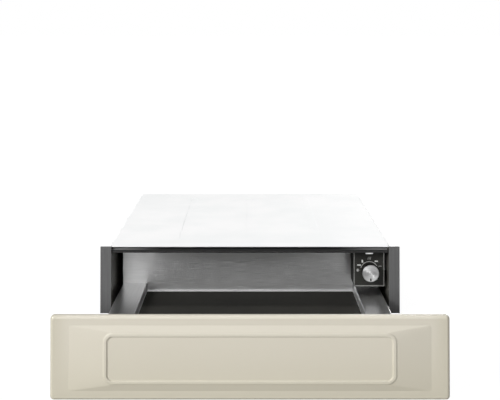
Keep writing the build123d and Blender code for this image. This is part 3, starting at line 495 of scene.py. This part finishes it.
# printed scale on the fascia; angles run clockwise from the off mark at six o'clock
scalePrint = {
    "thick": 0.00008, "lineWidth": 0.001, "markRadius": 0.023, "roundSegments": 5,
    "arcRadius": 0.0175, "arcStart": 107, "arcEnd": 241, "arcSteps": 36, "mergeDistance": 0.000001,
    "tickRadius": 0.0188, "tickLength": 0.0013, "tickRound": 0.0001,
}
markPrints = {
    "drop": {"angle": 92, "width": 0.0042, "height": 0.0058, "round": 0.0020, "finish": "markGrey"},
    "plate": {"angle": 118, "width": 0.0074, "height": 0.0022, "round": 0.0006, "finish": "markWhite"},
    "cup": {"angle": 143, "width": 0.0030, "height": 0.0058, "round": 0.0014, "finish": "markWhite"},
    "bowl": {"angle": 217, "width": 0.0066, "height": 0.0022, "round": 0.0008, "finish": "markWhite"},
    "line": {"angle": 248, "width": 0.0060, "height": 0.0010, "round": 0.0004, "finish": "markGrey"},
}
wavePrint = {"angle": 180, "radius": 0.0242, "apart": 0.0024, "width": 0.0008, "height": 0.0056,
             "round": 0.0003, "lean": 12}
knobCentre = sum(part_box("knob_cap"), Vector()) / 2
knobCentre.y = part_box("control_fascia")[0].y       # brought back to the face of the fascia


def onScale(angle, radius):
    turn = math.radians(angle)
    return knobCentre - Vector((radius * math.sin(turn), 0, radius * math.cos(turn)))


# a thin plate of print with rounded corners, its back on the fascia
def printPlate(name, centre, width, height, rounding, turn=0):
    thick = scalePrint["thick"]
    plate = startPiece(name, bpy.ops.mesh.primitive_cube_add, size=1, scale=(width, thick, height),
                       location=centre - Vector((0, thick / 2, 0)), rotation=(0, turn, 0))
    bpy.ops.object.transform_apply(location=False, rotation=False, scale=True)

    def runsThrough(edge):
        first, second = (plate.data.vertices[number].co for number in edge.vertices)
        return abs(first.y - second.y) > thick / 2

    def roundCorners():
        selectParts(plate, "EDGE", runsThrough)
        bpy.ops.mesh.bevel(offset=rounding, segments=scalePrint["roundSegments"])

    editPiece(plate, roundCorners)
    return plate


def scaleArc():
    thick = scalePrint["thick"]
    arc = startPiece("scaleArc", bpy.ops.mesh.primitive_plane_add, size=1)
    arc.scale = (scalePrint["lineWidth"], thick, 1)
    bpy.ops.object.transform_apply(location=False, rotation=False, scale=True)
    start = onScale(scalePrint["arcStart"], scalePrint["arcRadius"]) - Vector((0, thick / 2, 0))
    lean = math.radians(scalePrint["arcStart"] - 90)
    arc.data.transform(Matrix.Translation(start) @ Matrix.Rotation(lean, 4, "Y"))
    sweep = math.radians(scalePrint["arcEnd"] - scalePrint["arcStart"])

    def turnRound():
        bpy.ops.mesh.select_all(action="SELECT")
        bpy.ops.mesh.spin(steps=scalePrint["arcSteps"], angle=-sweep, center=knobCentre, axis=(0, 1, 0))
        bpy.ops.mesh.select_all(action="SELECT")
        bpy.ops.mesh.remove_doubles(threshold=scalePrint["mergeDistance"])
        bpy.ops.mesh.normals_make_consistent(inside=False)

    editPiece(arc, turnRound)
    return arc


# short lines that tie the marks to the arc
def scaleTicks():
    ticks = []
    for number, mark in enumerate(markPrints.values()):
        spot = onScale(mark["angle"], scalePrint["tickRadius"])
        turn = math.radians(mark["angle"] - 180)
        ticks.append(printPlate(f"tick{number}", spot, scalePrint["lineWidth"], scalePrint["tickLength"],
                                scalePrint["tickRound"], turn))
    return ticks


# three slanted strokes over the middle of the arc
def scaleWaves():
    waves = []
    for number in (-1, 0, 1):
        aside = Vector((number * wavePrint["apart"], 0, 0))
        spot = onScale(wavePrint["angle"], wavePrint["radius"]) + aside
        waves.append(printPlate(f"wave{number}", spot, wavePrint["width"], wavePrint["height"],
                                wavePrint["round"], math.radians(wavePrint["lean"])))
    return waves


def makeScale():
    lines = joinPieces("scaleLines", [scaleArc()] + scaleTicks() + scaleWaves())
    seatPiece(lines, "markGrey", "chassis")
    for name, mark in markPrints.items():
        spot = onScale(mark["angle"], scalePrint["markRadius"])
        plate = printPlate("mark_" + name, spot, mark["width"], mark["height"], mark["round"])
        seatPiece(plate, mark["finish"], "chassis")


makeScale()
print("scale printed")

screwLook = {
    "head": 0.0039, "height": 0.002, "sides": 32, "flatSlope": 0.9, "roundShare": 0.55, "roundSegments": 4,
    "crossWidth": 0.0009, "crossLength": 0.0046, "crossDepth": 0.0012, "reach": 0.015, "smoothAngle": 35,
}


# one pan head with a cross recess, standing on the plane z = 0
def screwHead():
    height = screwLook["height"]
    head = startPiece("screwHead", bpy.ops.mesh.primitive_cylinder_add, vertices=screwLook["sides"],
                      radius=screwLook["head"], depth=height, location=(0, 0, height / 2))
    bpy.ops.object.transform_apply(location=True, rotation=False, scale=False)

    def roundTop():
        selectParts(head, "FACE", lambda face: face.normal.z > screwLook["flatSlope"])
        bpy.ops.mesh.region_to_loop()
        bpy.ops.mesh.bevel(offset=height * screwLook["roundShare"], segments=screwLook["roundSegments"])

    editPiece(head, roundTop)
    size = (screwLook["crossLength"], screwLook["crossWidth"], 2 * screwLook["crossDepth"])
    for turn in (0, math.pi / 2):
        bar = startPiece("crossBar", bpy.ops.mesh.primitive_cube_add, size=1, location=(0, 0, height),
                         rotation=(0, 0, turn), scale=size)
        bpy.context.view_layer.objects.active = head
        cut = head.modifiers.new("cross", "BOOLEAN")
        cut.object = bar
        bpy.ops.object.modifier_apply(modifier=cut.name)
        bpy.data.objects.remove(bar)
    return head


# low and high corner of every screw in a node, read from its separate solids
def screwBoxes(node):
    screws = []
    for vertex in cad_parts[node].data.vertices:
        for screw in screws:
            if (screw[0] - vertex.co).length < screwLook["reach"]:
                screw.append(vertex.co)
                break
        else:
            screws.append([vertex.co])
    return [(Vector(map(min, *screw)), Vector(map(max, *screw))) for screw in screws]


# heads on screws along Y look backwards, all others away from the middle
def headMatrix(low, high):
    size = high - low
    axis = max(range(3), key=lambda number: size[number])
    middle = (low + high) / 2
    outward = Vector((0, 0, 0))
    outward[axis] = 1 if axis == 1 or middle[axis] > 0 else -1
    middle[axis] = (high if outward[axis] > 0 else low)[axis] - outward[axis] * screwLook["height"]
    return Matrix.Translation(middle) @ outward.to_track_quat("Z", "Y").to_matrix().to_4x4()


def dressScrews(name, node, body):
    model = screwHead()
    copies = []
    for low, high in screwBoxes(node):
        copy = model.copy()
        copy.data = model.data.copy()
        copy.data.transform(headMatrix(low, high))
        bpy.context.scene.collection.objects.link(copy)
        copies.append(copy)
    bpy.data.objects.remove(model)
    screws = joinPieces(name, copies)
    seatPiece(screws, "screwSteel", body)
    bpy.ops.object.shade_smooth_by_angle(angle=math.radians(screwLook["smoothAngle"]))
    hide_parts(node)


dressScrews("panelScrews", "panel_screws", "chassis")
dressScrews("bracketScrews", "front_screws", "drawer")
print("screws made")

studio = {
    "floorSize": 60, "floorDrop": 0.0004, "floorTone": (184, 184, 184), "floorShare": 0.8, "floorGlow": 1.18,
    "shadowEnd": (1.0, 2.4), "sky": 0.2, "mirroredFront": 0.68, "mirroredBack": 0.13,
    "mirrorFade": (-0.25, 0.35),
}
lamps = {
    "key": {"place": (-5.5, -5.2, 3.7), "aim": (0, -0.3, 0.08), "size": (2.3, 2.3), "power": 540},
    "strip": {"place": (0, -2.9, 1.35), "aim": (0, -0.41, 0.06), "size": (1.8, 0.5), "power": 11},
    "low": {"place": (0, -3.0, 0.22), "aim": (0, -0.4, 0.06), "size": (2.4, 0.25), "power": 5},
    "top": {"place": (0, 0.5, 2.5), "aim": (0, 0.2, 0), "size": (2.2, 0.35), "power": 26},
    "rear": {"place": (1.4, 3.8, 0.5), "aim": (0, 0.5, 0.06), "size": (2.0, 0.5), "power": 60},
}
cameraLook = {"place": (0, -1.7692, 0.5697), "upward": 1, "lens": 64.985, "sensor": 36, "shift": (0, -0.3904)}
white = (1, 1, 1, 1)


# the camera sees white; metal mirrors a pale sky in front of the object and a dim one behind it
def makeWorld():
    world = bpy.data.worlds.new("studioWorld")
    bpy.context.scene.world = world
    sky = Finish("studioSky", world)
    seen = sky.add("LightPath", output="Is Camera Ray")
    mirrored = Wire(sky, seen.socket.node.outputs["Is Glossy Ray"])
    behind = sky.ramp(sky.axes(sky.add("TexCoord", output="Generated"))[1], *studio["mirrorFade"])
    plain = studio["sky"]
    dimmed = behind * (studio["mirroredFront"] - studio["mirroredBack"])
    strength = plain + seen * (1 - plain) + mirrored * (studio["mirroredFront"] - plain - dimmed)
    light = sky.add("Background", inputs={"Color": white, "Strength": strength})
    sky.add("OutputWorld", inputs={"Surface": light})


# pale paper that holds the object's shadow and glows to white further out
def makeFloor():
    floor = startPiece("studioFloor", bpy.ops.mesh.primitive_plane_add, size=studio["floorSize"],
                       location=(0, 0, -studio["floorDrop"]))
    finish = Finish("floorPaper")
    seen = finish.add("LightPath", output="Is Camera Ray")
    far = finish.ramp(finish.length(finish.place), *studio["shadowEnd"])
    paper = finish.add("BsdfDiffuse", inputs={"Color": shade(*studio["floorTone"])})
    glow = finish.add("Emission", inputs={"Color": white, "Strength": studio["floorGlow"]})
    share = far * (1 - studio["floorShare"]) + studio["floorShare"]
    mixed = finish.add("MixShader", inputs={0: seen * share, 1: paper, 2: glow})
    finish.add("OutputMaterial", inputs={"Surface": mixed})
    floor.data.materials.append(finish.material)


def makeLamps():
    for name, look in lamps.items():
        lamp = bpy.data.lights.new(name, "AREA")
        lamp.shape = "RECTANGLE"
        lamp.size, lamp.size_y = look["size"]
        lamp.energy = look["power"]
        holder = bpy.data.objects.new(name, lamp)
        holder.location = look["place"]
        aim = Vector(look["aim"]) - Vector(look["place"])
        holder.rotation_euler = aim.to_track_quat("-Z", "Y").to_euler()
        bpy.context.scene.collection.objects.link(holder)


def makeCamera():
    camera = bpy.data.cameras.new("camera")
    camera.lens = cameraLook["lens"]
    camera.sensor_width = cameraLook["sensor"]
    camera.shift_x, camera.shift_y = cameraLook["shift"]
    holder = bpy.data.objects.new("camera", camera)
    holder.location = cameraLook["place"]
    holder.rotation_euler = (math.radians(90 + cameraLook["upward"]), 0, 0)
    bpy.context.scene.collection.objects.link(holder)
    bpy.context.scene.camera = holder


makeWorld()
makeFloor()
makeLamps()
makeCamera()
bpy.context.scene.view_settings.view_transform = "Standard"
print("studio ready")
